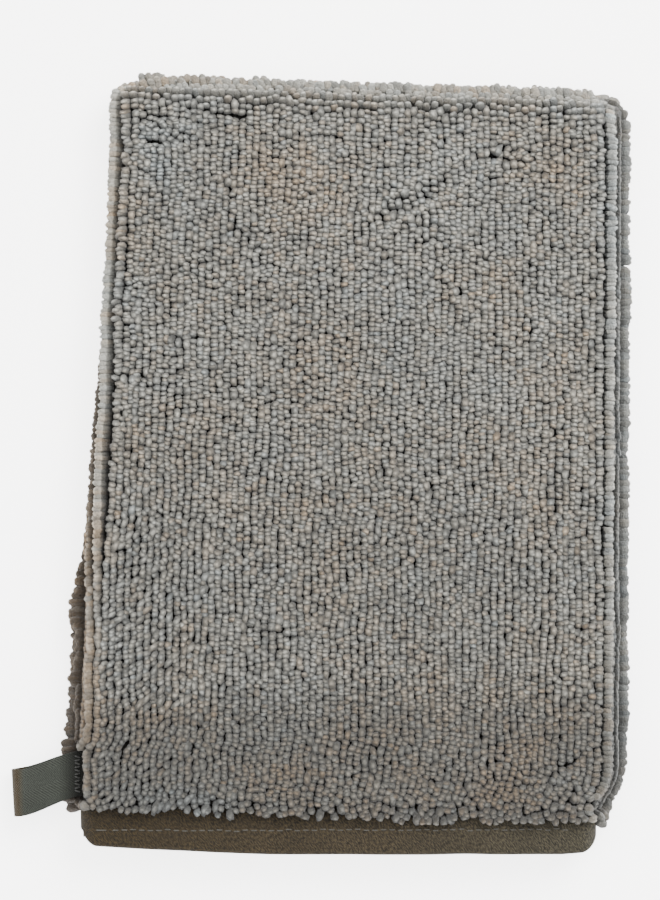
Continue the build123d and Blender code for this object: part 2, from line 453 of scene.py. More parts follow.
def relax_cloth(front_grid, back_grid, steps=16, most=1.6 * MM):
    """Cloth simulation of the sewn mitt: the seams draw in and the panels pucker beside them."""
    points, quads, front_index, back_index = sewn_shell(front_grid, back_grid)
    shell = make_mesh("relaxing", points, quads)
    weights = shrink_weights(front_index, back_index, len(points))
    shrinking = shell.vertex_groups.new(name="shrinking")
    for weight in SEAM_SHRINK:
        shrinking.add(np.flatnonzero(weights == weight).tolist(), weight, "REPLACE")
    held = shell.vertex_groups.new(name="held")
    held.add(front_index[:3].ravel().tolist() + back_index[:3].ravel().tolist(), 1.0, "REPLACE")
    lying = back_grid[..., 2] < BACK_LOW[2] + 0.2 * MM
    held.add(back_index[lying].tolist(), 1.0, "REPLACE")
    add_cloth(shell, steps)
    scene = bpy.context.scene
    for step in range(1, steps + 1):
        scene.frame_set(step)
    done = shell.evaluated_get(bpy.context.evaluated_depsgraph_get())
    moved = np.zeros(len(points) * 3, np.float32)
    done.data.vertices.foreach_get("co", moved)
    moved = moved.reshape(-1, 3).astype(float)
    shift = smooth_shift(np.nan_to_num(moved - points), quads)
    length = np.linalg.norm(shift, axis=1, keepdims=True)
    shift *= np.minimum(1, most / np.maximum(length, 1e-9))
    settled = points + shift * SETTLED_SHARE
    bpy.data.objects.remove(shell)
    scene.frame_set(1)
    return settled[front_index], settled[back_index]


# ---------------------------------------------------------------- terry loops

LOOP_HEIGHTS = np.array([0.0, 0.60, 0.84, 0.95])
LOOP_GIRTHS = np.array([0.92, 1.20, 1.03, 0.72])
LOOP_GIRTHS_ALONG = np.array([0.92, 1.18, 0.99, 0.56])
LOOP_SIDES = 7
DOUBLED_SHARE = 0.10                      # loops that swallow their neighbour in the column
SQUARENESS = 3.6                          # exponent of a loop's cross-section: 2 would be an ellipse
# Painted light: a loop's colour is brightened on its sides, and on its root as well beyond this much.
MOST_PAINTED_LIGHT = 1.02                          # light on a loop beyond which its root is brightened too

# Lines where the pile parts: points along the line (mm), how far loops move aside (mm)
PARTINGS = [
    ([(-64, 105), (-58, 103.4), (-55.5, 98.8), (-57.6, 95.6), (-62.4, 96.6)], 0.5),
    ([(-67.5, 111.6), (-58, 112.4)], 0.7),
    ([(-42, 104.2), (-34.5, 104.0)], 0.6),
    ([(-32, 67), (-27, 66.6)], 0.5),
    ([(39.5, 92.8), (49, 89.8)], 0.6),
    ([(56, -96), (60, -91), (66, -88)], 0.6),
    ([(-20, -97), (-12, -95)], 0.4),
    ([(30, -71), (35, -73)], 0.4),
]

# Places where the pile is ruffled: centre x, centre y, half width, half height (mm), strength
RUFFLED = [
    (-58, 100, 6, 5, 0.6),
    (73, 103, 7, 8, 0.25),
    (58, -99, 15, 6, 0.22),
    (30, -101, 30, 5, 0.15),
    (-40, -100, 40, 4, 0.15),
    (52, 88, 10, 6, 0.35),
]

# Drift of the yarn's colour, with a strip of painted warm shade along the left rim: centre x, y, half
# width, half height (mm), brown (-) or blue (+)
DRIFT = [
    (-60, 92, 8, 11, 0.42),
    (76.5, 60, 3.5, 50, 0.40),
    (76.5, -40, 3.5, 50, 0.25),
    (-54, -101, 13, 5, 0.32),
    (50, -86, 9, 7, -0.20),
    (44, -99, 10, 6, -0.24),
    (-30, -90, 16, 9, -0.14),
    # Painted warm shade: brown along the left rim.
    (-79, 20, 3.0, 110, -0.45),
    (-20, 84, 12, 8, -0.15),
    (60, 90, 12, 7, -0.14),
    (-10, 114, 90, 4, -0.10),
]


def patch_field(x, y, patches):
    """Sum of soft round patches at each place."""
    field = np.zeros_like(x)
    for cx, cy, half_width, half_height, strength in patches:
        u, v = (x / MM - cx) / half_width, (y / MM - cy) / half_height
        field += strength * np.exp(-u * u - v * v)
    return field


def parting_push(x, y, line, most, width=1.3 * MM):
    """How far loops are pushed aside by a parting, in x and in y, and how close they stand to it."""
    points = np.array(line) * MM
    nearest = np.full(x.shape, 1.0)
    push_x, push_y = np.zeros_like(x), np.zeros_like(y)
    for (ax, ay), (bx, by) in zip(points[:-1], points[1:]):
        length = math.hypot(bx - ax, by - ay)
        ux, uy = (bx - ax) / length, (by - ay) / length
        along = np.clip((x - ax) * ux + (y - ay) * uy, 0, length)
        away_x, away_y = x - ax - along * ux, y - ay - along * uy
        distance = np.hypot(away_x, away_y)
        closer = distance < nearest
        nearest = np.where(closer, distance, nearest)
        safe = np.maximum(distance, 1e-6)
        push_x = np.where(closer, away_x / safe, push_x)
        push_y = np.where(closer, away_y / safe, push_y)
    near = np.exp(-(nearest / width) ** 2)
    return push_x * near * most * MM, push_y * near * most * MM, near


def small_creases(x, y, seed, count=110):
    """Little dark gaps between rows: loops above each gap move up and loops below it down."""
    random = np.random.default_rng(seed)
    shift = np.zeros_like(x)
    for _ in range(count):
        cx, cy = random.uniform(-0.078, 0.076), random.uniform(-0.104, 0.110)
        half_length, push = random.uniform(1.2, 4.0) * MM, random.uniform(0.08, 0.26) * MM
        u, v = (x - cx) / half_length, (y - cy) / (1.5 * MM)
        shift += push * np.tanh(v * 4) * np.exp(-u * u - v * v)
    return shift


def even_rows(grid, pitch):
    """Values of t, from 0 to 1, that are evenly spaced along the panel's middle."""
    t = np.linspace(0, 1, 800)
    line = sample(grid, np.full_like(t, 0.5), t)
    distance = distance_along(line)
    count = int(round(distance[-1] / pitch))
    return np.interp((np.arange(count) + 0.5) / count * distance[-1], distance, t)


def even_columns(grid, t, count):
    """For each t, values of s that are evenly spaced across the panel."""
    s = np.linspace(0, 1, 500)
    ss, tt = np.meshgrid(s, t)
    distance = distance_along(sample(grid, ss, tt), axis=1)
    share = (np.arange(count) + 0.5) / count
    return np.array([np.interp(share * d[-1], d, s) for d in distance])


def wandering(x, y, seed, loose, random):
    """How far each loop strays from its knitted place, across its column and along it."""
    across = 0.40 * MM * value_noise(x, y, 14 * MM, seed + 1)
    across += 0.12 * MM * value_noise(x, y, 3.5 * MM, seed + 3) * loose
    across += random.normal(0, 0.07 * MM, x.shape) * loose
    along = 0.16 * MM * value_noise(x, y, 5 * MM, seed + 2)
    along += random.normal(0, 0.09 * MM, x.shape) * loose
    return across, along + small_creases(x, y, seed + 4)


def doubled_loops(share, width, random):
    """Loops that swallow the next in their column: away from the seams, and never two in a row."""
    doubled = random.uniform(0, 1, share.shape) < DOUBLED_SHARE
    doubled &= (share * width > 7 * MM) & ((1 - share) * width > 5 * MM)
    for row in range(1, len(doubled)):
        doubled[row] &= ~doubled[row - 1]
    doubled[-1] = False
    return doubled


def loop_places(grid, seed, partings):
    """Where each terry loop of a panel stands: its base point, normal and tangents, its column
    number, its closeness to a parting, and its distances from the left, right and end seams."""
    random = np.random.default_rng(seed)
    t = even_rows(grid, COURSE_PITCH)
    width = distance_along(grid[len(grid) // 2])[-1]
    length = distance_along(grid[:, grid.shape[1] // 2])[-1]
    columns = int(round(width / WALE_PITCH))
    s = even_columns(grid, t, columns)
    tt = np.repeat(t[:, None], columns, axis=1)
    base = sample(grid, s, tt)
    x, y = base[..., 0], base[..., 1]
    ruffled = patch_field(x, y, RUFFLED)
    share = (np.arange(columns) + 0.5)[None] / columns + 0 * tt
    across, along = wandering(x, y, seed, 1 + 1.2 * ruffled, random)
    doubled = doubled_loops(share, width, random)
    swallowed = np.roll(doubled, 1, axis=0)
    along += 0.5 * COURSE_PITCH * doubled
    column = np.arange(columns)[None] + 0 * tt
    from_seam = np.minimum(column, columns - 1 - column)
    along += 0.5 * COURSE_PITCH * (column % 2) * (from_seam < 4)
    along += 0.55 * COURSE_PITCH * value_noise(column * 1.7, y / (45 * MM), 1.0, seed + 13)
    closeness = np.zeros_like(x)
    for line, most in partings:
        push_x, push_y, near = parting_push(x, y, line, most)
        across, along = across + push_x * np.sign(s[0, -1] - s[0, 0]), along + push_y
        closeness = np.maximum(closeness, near)
    width_here = np.linalg.norm(base[:, -1] - base[:, 0], axis=-1)[:, None]
    s = np.clip(s + across / width_here, 0.001, 0.999)
    tt = np.clip(tt + along / length, 0.0, 0.999)
    eps = 0.004
    base = sample(grid, s, tt)
    du = unit(sample(grid, np.minimum(s + eps, 1), tt) - sample(grid, np.maximum(s - eps, 0), tt))
    dv = unit(sample(grid, s, np.minimum(tt + eps, 1)) - sample(grid, s, np.maximum(tt - eps, 0)))
    row_share = (np.arange(len(t)) + 0.5)[:, None] / len(t) + 0 * tt
    values = {
        "base": base, "normal": unit(np.cross(du, dv)), "du": du, "dv": dv, "column": column,
        "closeness": closeness, "ruffled": ruffled, "doubled": doubled, "swallowed": swallowed,
        "first": share * width,
        "last": (1 - share) * width, "end": (1 - row_share) * length,
    }
    return {key: v.reshape(-1, 3) if v.ndim == 3 else v.ravel() for key, v in values.items()}


def loop_bodies(place, seed, lean, height, girth, taper):
    """Points of every loop: closed fingers of yarn with a rounded top, one array row per loop."""
    base, normal, du = place["base"], place["normal"], place["du"]
    random = np.random.default_rng(seed)
    count = base.shape[0]
    axis = unit(normal + lean)
    side = unit(du - axis * np.sum(du * axis, -1, keepdims=True))
    up = np.cross(axis, side)
    twist = (random.normal(0, 0.20, count) * (1 + 2 * place["ruffled"]) + place["slant"])[:, None]
    side, up = side * np.cos(twist) + up * np.sin(twist), up * np.cos(twist) - side * np.sin(twist)
    bow = 0.17 * MM * (random.normal(0, 1, (count, 1)) * side + random.normal(0, 1, (count, 1)) * up)
    angle = np.arange(LOOP_SIDES) * 2 * math.pi / LOOP_SIDES
    square = np.abs(np.cos(angle)) ** SQUARENESS + np.abs(np.sin(angle)) ** SQUARENESS
    square = square ** (-1 / SQUARENESS)
    rings = []
    for h, across, along in zip(LOOP_HEIGHTS, LOOP_GIRTHS, LOOP_GIRTHS_ALONG):
        narrowed = (1 - taper * max(h - 0.6, 0) / 0.4)[:, None]
        centre = base + axis * (height * h)[:, None] + bow * h * h
        wobble = 1 + random.normal(0, 0.13, (count, LOOP_SIDES)) * (h > 0)
        reach = narrowed * square[None] * wobble
        wide = (girth[:, :1] * across * reach)[..., None]
        deep = (girth[:, 1:] * along * reach)[..., None]
        ring = (centre[:, None]
                + (side[:, None] * np.cos(angle)[None, :, None] * wide)
                + (up[:, None] * np.sin(angle)[None, :, None] * deep))
        rings.append(ring)
    apex = base + axis * height[:, None] + bow
    return np.concatenate([np.concatenate(rings, axis=1), apex[:, None]], axis=1)


def loops_object(name, bodies, tone, hue, lift):
    """One mesh of many terry loops, with each loop's tone and hue kept on its points, and in the third
    channel its height with painted light on its sides and root.
    """
    count, per = bodies.shape[:2]
    k = np.arange(LOOP_SIDES)
    after = (k + 1) % LOOP_SIDES
    quads = []
    for ring in range(len(LOOP_HEIGHTS) - 1):
        low, high = ring * LOOP_SIDES, (ring + 1) * LOOP_SIDES
        quads.append(np.stack([low + k, low + after, high + after, high + k], -1))
    quads = np.concatenate(quads)
    last = (len(LOOP_HEIGHTS) - 1) * LOOP_SIDES
    caps = np.stack([last + k, last + after, np.full(LOOP_SIDES, per - 1)], -1)
    bottom = k[None, ::-1]
    base = (np.arange(count) * per)[:, None, None]
    thing = make_mesh(
        name,
        bodies.reshape(-1, 3),
        (quads[None] + base).reshape(-1, 4),
        (caps[None] + base).reshape(-1, 3),
        (bottom[None] + base).reshape(-1, LOOP_SIDES),
    )
    heights = np.append(np.repeat(LOOP_HEIGHTS, LOOP_SIDES), 1.0)
    colour = np.ones((count, per, 4), np.float32)
    colour[..., 0] = tone[:, None]
    colour[..., 1] = hue[:, None]
    # Painted light on the loop's sides, fading out below its top, and on its root where the painted
    # light is strongest.
    painted_side_light = np.clip(0.97 - heights, 0, 1) * smoothstep((heights - 0.1) / 0.4)
    root = np.clip(lift - MOST_PAINTED_LIGHT, 0, 0.5)[:, None] * (heights == 0)[None]
    colour[..., 2] = heights[None] + np.minimum(lift, MOST_PAINTED_LIGHT)[:, None] * painted_side_light[None] + 1.9 * root
    attribute = thing.data.color_attributes.new("yarn", "FLOAT_COLOR", "POINT")
    attribute.data.foreach_set("color", colour.ravel())
    return thing


def near(distance, reach):
    """1 at a seam, falling softly to 0 at the given reach from it."""
    return smoothstep(1 - distance / reach)


def ridge(distance, middle, width):
    """1 at the middle distance, falling softly to 0 on both sides of it."""
    return np.exp(-((distance - middle) / width) ** 2)


def surroundings(front, place):
    """How near each loop stands to the seams, walls and special places, mostly from 0 to 1."""
    x, y, z = place["base"].T
    from_left, from_right, from_end = place["first"], place["last"], place["end"]
    if not front:
        from_left, from_right = from_right, from_left
    down = lower_left(y)
    combed_side = (1 - down) * front
    left = near(from_left, (6.5 + 2.5 * combed_side) * MM)
    right = near(from_right, (4.5 if front else 6.5) * MM)
    end = near(from_end, 6.5 * MM)
    left_wall, right_wall, end_wall = (
        near(distance, 12 * MM) > 0.3 for distance in (from_left, from_right, from_end))
    seam_z = np.where(x < 0, MIDDLE_Z + 4 * MM - 4.6 * MM * down, MIDDLE_Z - 0.2 * MM)
    sides = (from_left < 8 * MM) | (from_right < 8 * MM)
    above_seam = smoothstep((z - seam_z + 0.3 * MM) / (0.7 * MM))
    return SimpleNamespace(
        x=x, y=y, z=z, from_left=from_left, from_right=from_right, from_end=from_end,
        down=down, high=smoothstep((y - 0.02) / 0.06),
        left=left, right=right, end=end, rim=np.maximum(left, np.maximum(right, end)),
        outermost=(from_left < 2.05 * MM) * combed_side,
        band=ridge(from_left, 3.05 * MM, 1.1 * MM) * combed_side,
        upright=ridge(from_left, 5.1 * MM, 1.0 * MM) * combed_side,
        corner=near(from_right, 11 * MM) * near(from_end, 11 * MM),
        mouth_edge=smoothstep((PILE_LOW[1] + 7 * MM - y) / (5 * MM)),
        on_wall=smoothstep((MIDDLE_Z + 0.55 * RIM - z) / (0.4 * RIM)),
        left_wall=left_wall, right_wall=right_wall, end_wall=end_wall,
        strokes=down * smoothstep((-0.030 - x) / 0.04) * (1 - end),
        sheared=sides * above_seam * (y > NECK_Y) * (not front),
        under=(z < BACK_LOW[2] + 1.2 * MM) & (not front),
    )


def loop_leans(front, at, combed, ruffled, seed, random):
    """How far each loop leans from its normal, in x, y and z."""
    outward = np.stack([at.right - at.left, at.end, np.zeros(len(at.x))], -1)
    if front:
        part = at.left * (0.40 * at.down - 0.95 * (1 - at.down)) + at.right * (0.10 - 0.14 * at.high)
        part = part - 0.12 * at.end
    else:
        part = -(0.15 * at.left + 0.10 * at.right + 0.10 * at.end)
    lean = -part[:, None] * outward
    lean[:, 2] += np.maximum(part, -0.2)
    lean[:, 0] += 0.20 * at.upright - 1.5 * at.band
    spread = 0.052 * (1 + 2.4 * ruffled + 0.6 * (at.left + at.right + at.end))
    spread = (spread * (1 - 0.8 * at.corner))[:, None]
    lean[:, :2] += 0.11 * combed + random.normal(0, 1, (len(at.x), 2)) * spread
    uneven = 0.75 + 0.25 * value_noise(at.x, at.y, 9 * MM, seed + 14)
    lean[:, 0] -= 0.45 * near(at.from_end, 7 * MM) * uneven
    lean[:, 1] += 0.75 * near(at.from_end, 9 * MM) * front
    lean[:, 1] -= 0.55 * at.mouth_edge * (1 + 0.35 * value_noise(at.x, at.y, 6 * MM, seed + 15))
    if not front:
        clumps = value_noise(0 * at.x, at.y, 2.6 * MM, seed + 18)
        lean[:, 1] += 0.30 * clumps * at.left * at.down
        lean[:, 2] += 0.35 * at.left * at.down * (at.z < MIDDLE_Z - 1.0 * MM)
        lean[at.under, :2] *= 0.6
    return lean


def loop_heights(front, at, place, seed, random):
    """Height of each loop: longer on the walls, short at a parting and in the closed corner."""
    uneven = 0.03 * value_noise(at.x, at.y, 7 * MM, seed + 9)
    height = PILE * (1 + random.normal(0, 0.045, len(at.x)) + uneven)
    height += 0.24 * MM * value_noise(place["column"] * 1.3, at.y / (16 * MM), 1.0, seed + 16)
    height *= 1 - 0.22 * place["closeness"] ** 4
    splay = smoothstep((-0.020 - at.y) / 0.035)
    height *= 1 + at.left_wall * at.on_wall * (-0.26 * (1 - at.down) + 0.66 * splay)
    height *= 1 + at.right_wall * at.on_wall * (0.20 + 0.06 * at.high)
    only_end = at.end_wall & ~at.left_wall & ~at.right_wall
    height *= 1 + only_end * at.on_wall * (0.38 if front else 0.50)
    swell = 0.35 * at.left * (1 - at.down) * (1 - at.on_wall) * front
    height *= 1 + swell + 0.10 * at.mouth_edge
    height *= (1 - 0.16 * at.band) * (1 - 0.45 * at.corner) * (1 - 0.62 * at.sheared)
    return np.where(at.under, np.minimum(height, at.z - 0.05 * MM), height)


def loop_girths(front, at, doubled, random):
    """Half width of each loop across its column and along it."""
    strings = 0.35 + 0.65 * smoothstep((0.03 - at.y) / 0.09)
    girth = np.stack([
        WALE_PITCH * (0.540 - 0.040 * strings),
        COURSE_PITCH * (0.580 + 0.17 * strings) * (1 + 0.75 * doubled),
    ], -1)
    girth *= 1 + random.normal(0, 0.07, girth.shape)
    side_wall = at.left_wall | at.right_wall
    girth[:, 0] *= 1 + 0.26 * np.maximum(at.left, at.right) + 0.20 * at.left * at.down + 0.06 * at.end
    girth[:, 1] *= 1 + 0.34 * at.end + 0.30 * at.on_wall * side_wall * (1 - at.end)
    girth *= (1 + (0.4 if front else 1.3) * at.corner)[:, None]
    girth[:, 0] *= 1 - 0.20 * at.strokes
    girth[:, 1] *= 1 + 0.24 * at.strokes
    return girth


def loop_colours(front, at, seed, random):
    """Tone and hue of each loop's yarn, with painted shade and light worked into the tone, and how
    much painted light brightens the loop's sides down to its root.
    """
    x, y = at.x, at.y
    tone = 0.5 + 0.15 * random.normal(0, 1, len(x))
    # Painted shade: loops darken in patches towards the mouth, as the light falls off towards the
    # bottom.
    mouth_shade_patches = 0.7 + 0.3 * value_noise(x, y, 15 * MM, seed + 19)
    tone -= 0.72 * smoothstep((-0.062 - y) / 0.026) * mouth_shade_patches
    tone += 0.06 * value_noise(x, y, 6 * MM, seed + 10) + 0.05 * value_noise(x, y, 30 * MM, seed + 17)
    # Painted light and shade: the combed band is lightened, the outermost column darkened, and the
    # lower half darkened.
    tone += 0.40 * at.band - 0.35 * at.outermost - 0.17 * smoothstep((0.02 - y) / 0.05)
    # Painted shade: the short loops by the back's side seams are darkened to read as a shaded groove.
    tone -= 0.5 * at.sheared
    # Painted warm shade: the outermost column on the left turns browner.
    hue = 0.5 - 0.4 * at.outermost + 0.14 * value_noise(x, y, 21 * MM, seed + 11)
    hue += 0.10 * value_noise(x, y, 7 * MM, seed + 12)
    hue += random.normal(0, 0.10, len(x)) + patch_field(x, y, DRIFT)
    if front:
        hue = np.clip(hue, 0.17, 1)
        # Painted light: the sides of the front's rim loops and of the combed band are brightened, the
        # outermost column less.
        lift = np.minimum(1.30 * at.rim, 1.0) * (1 - 0.65 * at.outermost)
        lift += 0.5 * at.band * (1 - at.outermost)
    else:
        # Painted warm shade: on the back, loops of the left half away from the end are browner and
        # darker.
        left_half = (x < 0) & (at.end < 0.3)
        hue = np.clip(hue - 0.45 * left_half, 0, 1)
        tone -= 0.15 * left_half
        # Painted light: the sides of the back's loops near the right and end seams, and a little on
        # the left, are brightened.
        lit = np.maximum(near(at.from_right, 12 * MM), near(at.from_end, 9 * MM))
        lift = np.maximum(np.minimum(1.5 * lit, MOST_PAINTED_LIGHT), 0.30 * at.left) * (1 - at.sheared)
    return np.clip(tone, 0, 1), hue, lift


def panel_loops(front, grid):
    """Every loop of a panel: its points, tone, hue and lift, its base, and whether it is kept."""
    seed = SEED_FRONT_LOOPS if front else SEED_BACK_LOOPS
    place = loop_places(grid, seed, PARTINGS if front else [])
    at = surroundings(front, place)
    random = np.random.default_rng(seed + 5)
    combed = np.stack([value_noise(at.x, at.y, 13 * MM, seed + extra) for extra in (7, 8)], -1)
    lean = loop_leans(front, at, combed, place["ruffled"], seed, random)
    height = loop_heights(front, at, place, seed, random)
    girth = loop_girths(front, at, place["doubled"], random)
    place["slant"] = 0.15 * combed[:, 0] - 0.70 * at.strokes
    bodies = loop_bodies(place, seed + 6, lean, height, girth, 0.10 * at.rim)
    bodies[..., 2] = np.maximum(bodies[..., 2], 0.02 * MM)
    tone, hue, lift = loop_colours(front, at, seed, random)
    under_tape = (at.from_left < 1.2 * MM * beside_tape(at.y)) & (at.y > NECK_Y)
    kept = ~place["swallowed"] & ~under_tape
    return bodies, tone, hue, lift, place["base"], kept


# ---------------------------------------------------------------- materials

def new_material(name, roughness, sheen=0.0):
    """A Principled material with its plain values set on the shader."""
    material = bpy.data.materials.new(name)
    material.use_nodes = True
    shader = material.node_tree.nodes["Principled BSDF"]
    shader.inputs["Roughness"].default_value = roughness
    shader.inputs["Sheen Weight"].default_value = sheen
    shader.inputs["Sheen Roughness"].default_value = 0.6
    shader.inputs["Specular IOR Level"].default_value = 0.2
    return material, material.node_tree, shader


def add_node(tree, kind, **settings):
    """A new node with its settings."""
    node = tree.nodes.new(kind)
    for key, value in settings.items():
        setattr(node, key, value)
    return node


def noise_node(tree, scale, detail=2.0, roughness=0.5):
    """Noise in the object's own coordinates."""
    coordinates = add_node(tree, "ShaderNodeTexCoord")
    noise = add_node(tree, "ShaderNodeTexNoise")
    noise.inputs["Scale"].default_value = scale
    noise.inputs["Detail"].default_value = detail
    noise.inputs["Roughness"].default_value = roughness
    tree.links.new(coordinates.outputs["Object"], noise.inputs["Vector"])
    return noise.outputs["Fac"]


def ramp_node(tree, factor, stops):
    """Colours of a ramp with (place, colour) stops, where one number is a grey."""
    ramp = add_node(tree, "ShaderNodeValToRGB")
    elements = ramp.color_ramp.elements
    while len(elements) < len(stops):
        elements.new(0.5)
    for element, (place, colour) in zip(elements, stops):
        element.position = place
        element.color = (*colour, 1) if isinstance(colour, tuple) else (colour, colour, colour, 1)
    tree.links.new(factor, ramp.inputs["Fac"])
    return ramp.outputs["Color"]


def multiply(tree, *colours):
    """The product of several colours."""
    product = colours[0]
    for colour in colours[1:]:
        mix = add_node(tree, "ShaderNodeMix", data_type="RGBA", blend_type="MULTIPLY")
        sockets = {socket.name: socket for socket in mix.inputs if socket.enabled}
        sockets["Factor"].default_value = 1.0
        tree.links.new(product, sockets["A"])
        tree.links.new(colour, sockets["B"])
        product = next(socket for socket in mix.outputs if socket.enabled)
    return product


def maths(tree, operation, first, second=None):
    """The result of a maths node on one or two sockets or numbers."""
    node = add_node(tree, "ShaderNodeMath", operation=operation)
    for socket, value in zip(node.inputs, (first, second)):
        if isinstance(value, bpy.types.NodeSocket):
            tree.links.new(value, socket)
        elif value is not None:
            socket.default_value = value
    return node.outputs[0]


def bump_node(tree, shader, height, distance):
    """Bumps in the shader's surface, as high as the distance."""
    bump = add_node(tree, "ShaderNodeBump")
    bump.inputs["Strength"].default_value = 1.0
    bump.inputs["Distance"].default_value = distance
    tree.links.new(height, bump.inputs["Height"])
    tree.links.new(bump.outputs["Normal"], shader.inputs["Normal"])


def terry_material():
    """Microfibre loops: grey yarn that drifts between a brown and a blue grey, with fine fibres,
    painted shade low on each loop and a painted highlight on its top.
    """
    material, tree, shader = new_material("terry_loops", 0.92, 0.15)
    yarn = add_node(tree, "ShaderNodeAttribute", attribute_name="yarn")
    parts = add_node(tree, "ShaderNodeSeparateColor")
    tree.links.new(yarn.outputs["Color"], parts.inputs["Color"])
    hue = ramp_node(tree, parts.outputs["Green"], [
        (0.0, (0.160, 0.104, 0.052)), (0.25, (0.150, 0.121, 0.087)),
        (0.5, (0.135, 0.128, 0.108)), (1.0, (0.125, 0.137, 0.136))])
    tone = ramp_node(tree, parts.outputs["Red"], [(0.0, 0.38), (0.5, 0.85), (1.0, 1.34)])
    # Painted shade and highlight: each loop darkens down towards its root and brightens strongly at
    # its top.
    root = ramp_node(tree, parts.outputs["Blue"], [
        (0.0, 0.34), (0.60, 0.42), (0.84, 0.52), (0.95, 0.90), (1.0, 2.6)])
    fibres = noise_node(tree, 1500, 4.0, 0.65)
    speck = ramp_node(tree, fibres, [(0.3, 0.62), (0.7, 1.36)])
    tree.links.new(multiply(tree, hue, tone, root, speck), shader.inputs["Base Color"])
    bump_node(tree, shader, fibres, 0.9 * MM)
    return material


def weave_coordinates(tree):
    """Separate U and V of the cloth's own map, in millimetres."""
    uv = add_node(tree, "ShaderNodeUVMap", uv_map="Weave")
    parts = add_node(tree, "ShaderNodeSeparateXYZ")
    tree.links.new(uv.outputs["UV"], parts.inputs["Vector"])
    return parts.outputs["X"], parts.outputs["Y"]


def ground_material():
    """Knitted ground cloth: fine ribs of stitches, darkened to near black as painted shade for the
    grooves where it shows between the loops.
    """
    material, tree, shader = new_material("knit_ground", 0.95, 0.1)
    u, v = weave_coordinates(tree)
    ribs = maths(tree, "SINE", maths(tree, "MULTIPLY", u, 2 * math.pi / 0.95))
    rows = maths(tree, "SINE", maths(tree, "MULTIPLY", v, 2 * math.pi / 0.8))
    height = maths(tree, "ADD", maths(tree, "ABSOLUTE", ribs), maths(tree, "MULTIPLY", rows, 0.35))
    # Painted shade: the knit's colour is kept near black so that it reads as shadow in the grooves.
    shade = ramp_node(tree, height, [(0.0, (0.012, 0.0105, 0.0085)), (1.0, (0.030, 0.027, 0.022))])
    speck = ramp_node(tree, noise_node(tree, 120, 3.0), [(0.3, 0.85), (0.7, 1.12)])
    tree.links.new(multiply(tree, shade, speck), shader.inputs["Base Color"])
    bump_node(tree, shader, height, 0.2 * MM)
    return material


def flecks_node(tree, turn, long, short):
    """Streaky noise on the cloth's own map: flecks of yarn that lie at an angle to the cloth."""
    uv = add_node(tree, "ShaderNodeUVMap", uv_map="Weave")
    mapping = add_node(tree, "ShaderNodeMapping", vector_type="TEXTURE")
    mapping.inputs["Rotation"].default_value[2] = math.radians(turn)
    mapping.inputs["Scale"].default_value = (long, short, 1)
    noise = add_node(tree, "ShaderNodeTexNoise")
    noise.inputs["Scale"].default_value = 1.0
    noise.inputs["Detail"].default_value = 2.0
    tree.links.new(uv.outputs["UV"], mapping.inputs["Vector"])
    tree.links.new(mapping.outputs["Vector"], noise.inputs["Vector"])
    return noise.outputs["Fac"]


def twill_material(name, dark, light, pitch, herringbone, rise, turn, fleck, drift):
    """Twill weave: diagonal ribs of yarn floats, mirrored in stripes for a herringbone."""
    material, tree, shader = new_material(name, 0.90, 0.03)
    u, v = weave_coordinates(tree)
    across = maths(tree, "PINGPONG", u, herringbone) if herringbone else u
    slant = maths(tree, "ADD", across, maths(tree, "MULTIPLY", v, rise))
    ribs = maths(tree, "SINE", maths(tree, "MULTIPLY", slant, 2 * math.pi / pitch))
    floats = maths(tree, "SINE", maths(tree, "MULTIPLY", v, 2 * math.pi / (pitch * 0.62)))
    ribs, floats = maths(tree, "MULTIPLY", ribs, 0.35), maths(tree, "MULTIPLY", floats, 0.15)
    weave = maths(tree, "ADD", ribs, floats)
    flecks = flecks_node(tree, turn, 1.0, 0.34)
    fibres = noise_node(tree, 2200, 3.0, 0.6)
    rough = maths(tree, "ADD", weave, maths(tree, "MULTIPLY", fibres, 0.6))
    streaks = maths(tree, "MULTIPLY", maths(tree, "SUBTRACT", flecks, 0.5), fleck)
    rough = maths(tree, "ADD", rough, streaks)
    level = maths(tree, "ADD", maths(tree, "MULTIPLY", rough, 0.60), 0.30)
    shade = ramp_node(tree, level, [(0.1, dark), (0.9, light)])
    patches = noise_node(tree, 90, 4.0, 0.6)
    wear = ramp_node(tree, patches, [(0.3, (0.86, 0.85, 0.83)), (0.7, (1.12, 1.12, 1.13))])
    tree.links.new(multiply(tree, shade, wear, drift(tree, v)), shader.inputs["Base Color"])
    bump_node(tree, shader, rough, 0.22 * MM)
    return material


def cuff_drift(tree, v):
    """The binding turns from a brown at its left end to a lighter grey at its right end."""
    coordinates = add_node(tree, "ShaderNodeTexCoord")
    parts = add_node(tree, "ShaderNodeSeparateXYZ")
    tree.links.new(coordinates.outputs["Object"], parts.inputs["Vector"])
    place = maths(tree, "ADD", maths(tree, "MULTIPLY", parts.outputs["X"], 6.2), 0.52)
    return ramp_node(tree, place, [
        (0.0, (0.56, 0.45, 0.24)), (0.55, (0.76, 0.68, 0.53)), (1.0, (0.92, 0.98, 0.95))])


def tape_drift(tree, v):
    """The tape is a blue grey, browner where it folds, and darkened towards its root at the seam as
    painted shade.
    """
    from_fold = maths(tree, "ABSOLUTE", maths(tree, "SUBTRACT", v, TAPE_FOLD))
    place = maths(tree, "MULTIPLY", from_fold, 1 / 30)
    # Painted shade: the tape darkens towards its root, where it enters the shaded seam.
    return ramp_node(tree, place, [
        (0.17, (0.80, 0.52, 0.20)), (0.20, (0.96, 0.84, 0.60)), (0.24, (0.82, 0.90, 0.82)),
        (0.62, (0.80, 0.88, 0.80)), (0.82, (0.14, 0.14, 0.12))])


